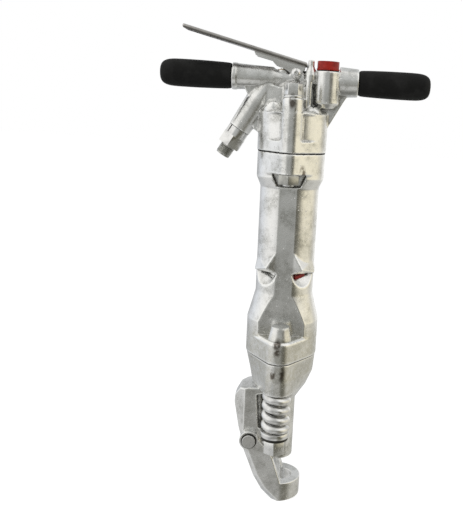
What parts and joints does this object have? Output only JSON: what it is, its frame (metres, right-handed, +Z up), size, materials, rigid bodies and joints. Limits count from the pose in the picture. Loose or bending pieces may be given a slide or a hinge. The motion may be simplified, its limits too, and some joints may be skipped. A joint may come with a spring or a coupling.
{
  "type": "pneumatic rock drill",
  "caption": "Hand-held pneumatic breaker-type rock drill with a T-handle, lever throttle, oil pot, sprung fronthead on side rods and a swinging tool latch.",
  "frame": {"origin": "centre of the chuck's mouth at the lower face of the nose", "axes": "+Z up the tool axis towards the handle, X along the handle with the throttle lever over -X, -Y the front"},
  "size_m": [0.437, 0.1784, 0.7978],
  "materials": {
    "cast_silver": "bare silver cast and forged steel, lightly pitted, with oil and rust stains",
    "machined_steel": "turned or plated steel",
    "plated_spring": "bright plated wire",
    "lever_steel": "pressed steel, bright edges",
    "bearing_bronze": "bearing bronze",
    "grip_rubber": "matte black moulded rubber",
    "seal_rubber": "black sealing rubber",
    "red_plastic": "red moulded plastic"
  },
  "bodies": {
    "machine": {"backhead": "cast_silver", "left_grip": "grip_rubber", "right_grip": "grip_rubber", "oil_cap": "red_plastic", "oil_cap_seal": "seal_rubber", "inlet_nut": "machined_steel", "inlet_seal": "seal_rubber", "lever_pin": "machined_steel", "lever_pin_ring": "machined_steel", "throttle_bushing": "bearing_bronze", "throttle_spring": "machined_steel", "upper_bolts": "machined_steel", "upper_washers": "machined_steel", "upper_nuts": "machined_steel", "backhead_gasket": "seal_rubber", "valve_seat": "machined_steel", "valve_chest_ring": "machined_steel", "valve_chest_cover": "machined_steel", "cylinder": "cast_silver", "exhaust_plug": "red_plastic", "anvil_bushing": "bearing_bronze", "side_rods": "machined_steel", "spring_seats": "machined_steel", "rod_lock_rings": "machined_steel", "rod_nuts": "machined_steel", "front_buffer_spring": "plated_spring", "rear_buffer_spring": "plated_spring"},
    "throttle_lever": {"throttle_lever": "lever_steel"},
    "throttle_valve": {"throttle_valve": "machined_steel"},
    "inlet_nipple": {"inlet_nipple": "machined_steel"},
    "kicker_valve": {"kicker_valve": "machined_steel"},
    "piston": {"piston": "machined_steel"},
    "anvil": {"anvil": "machined_steel"},
    "fronthead": {"fronthead": "cast_silver", "chuck_bushing": "machined_steel", "latch_pin": "machined_steel", "latch_pin_rings": "machined_steel"},
    "latch": {"latch": "cast_silver"}
  },
  "joints": [
    {"name": "lever_pivot", "type": "hinge", "parent": "machine", "child": "throttle_lever", "pos_m": [0.0016, 0, 0.6577], "axis": [0, -1, 0], "range_deg": [0, 14], "stiffness_Nm_per_rad": 4, "springref_deg": -22.92},
    {"name": "throttle_slide", "type": "slide", "parent": "machine", "child": "throttle_valve", "axis": [0, 0, -1], "range_m": [0, 0.0056], "deforming": ["throttle_spring"]},
    {"name": "inlet_swivel", "type": "hinge", "parent": "machine", "child": "inlet_nipple", "pos_m": [-0.08775, 0, 0.5643], "axis": [-0.521, 0, -0.8536], "continuous": true},
    {"name": "kicker_slide", "type": "slide", "parent": "machine", "child": "kicker_valve", "axis": [0, 0, 1], "range_m": [0, 0.0034]},
    {"name": "piston_stroke", "type": "slide", "parent": "machine", "child": "piston", "axis": [0, 0, 1], "range_m": [0, 0.138]},
    {"name": "anvil_float", "type": "slide", "parent": "machine", "child": "anvil", "axis": [0, 0, 1], "range_m": [0, 0.008]},
    {"name": "fronthead_recoil", "type": "slide", "parent": "machine", "child": "fronthead", "axis": [0, 0, -1], "range_m": [0, 0.008], "stiffness_N_per_m": 60000, "springref_m": -0.01, "deforming": ["front_buffer_spring", "rear_buffer_spring"]},
    {"name": "latch_swing", "type": "hinge", "parent": "fronthead", "child": "latch", "pos_m": [-0.045, 0, 0.036], "axis": [0, -1, 0], "range_deg": [0, 50]}
  ],
  "couplings": [
    {"joint": "throttle_slide", "follows": "lever_pivot", "m_per_rad": 0.0225}
  ]
}
